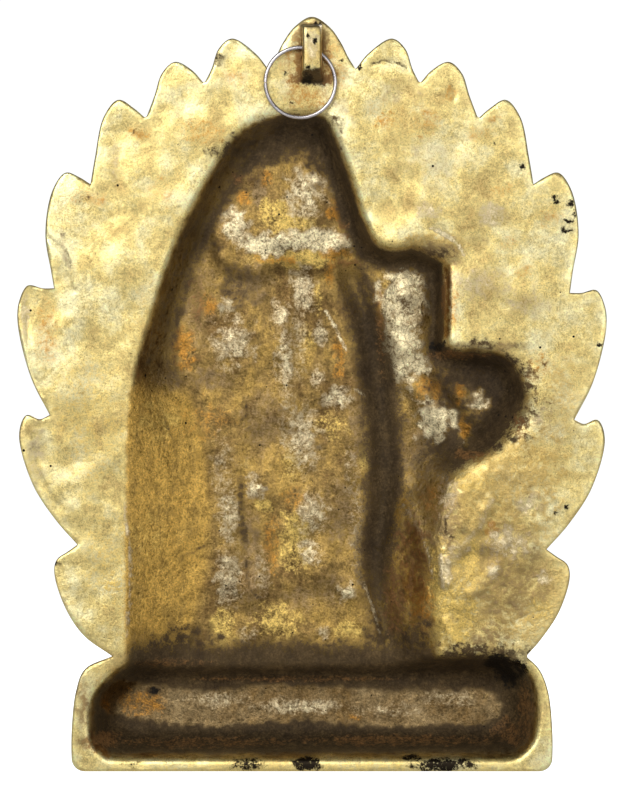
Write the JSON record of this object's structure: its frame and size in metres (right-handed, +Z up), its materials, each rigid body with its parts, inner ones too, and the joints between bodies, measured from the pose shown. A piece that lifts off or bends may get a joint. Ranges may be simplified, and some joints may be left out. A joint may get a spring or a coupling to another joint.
{
  "type": "metal deity wall hanging",
  "caption": "Cast brass wall plaque of a robed deity in a border of flames, hollow behind, with a pierced lug and a swinging wire ring to hang it by.",
  "frame": {"origin": "the point in the lug's eye where the ring's wire crosses the middle of the lug", "axes": "+Z up, the deity faces -Y and the hollow back faces +Y, so +X is on the left as seen from behind"},
  "size_m": [0.2022, 0.0322, 0.259],
  "materials": {
    "cast_brass": "aged casting, pale and worn on the plate, dark in the hollows",
    "steel_wire": "bright drawn wire"
  },
  "bodies": {
    "plaque": {"plaque": "cast_brass"},
    "ring": {"hanging_ring": "steel_wire"}
  },
  "joints": [
    {"name": "ring_swing", "type": "hinge", "parent": "plaque", "child": "ring", "pos_m": [0, 0, 0], "axis": [1, 0, 0], "range_deg": [0, 180]}
  ]
}
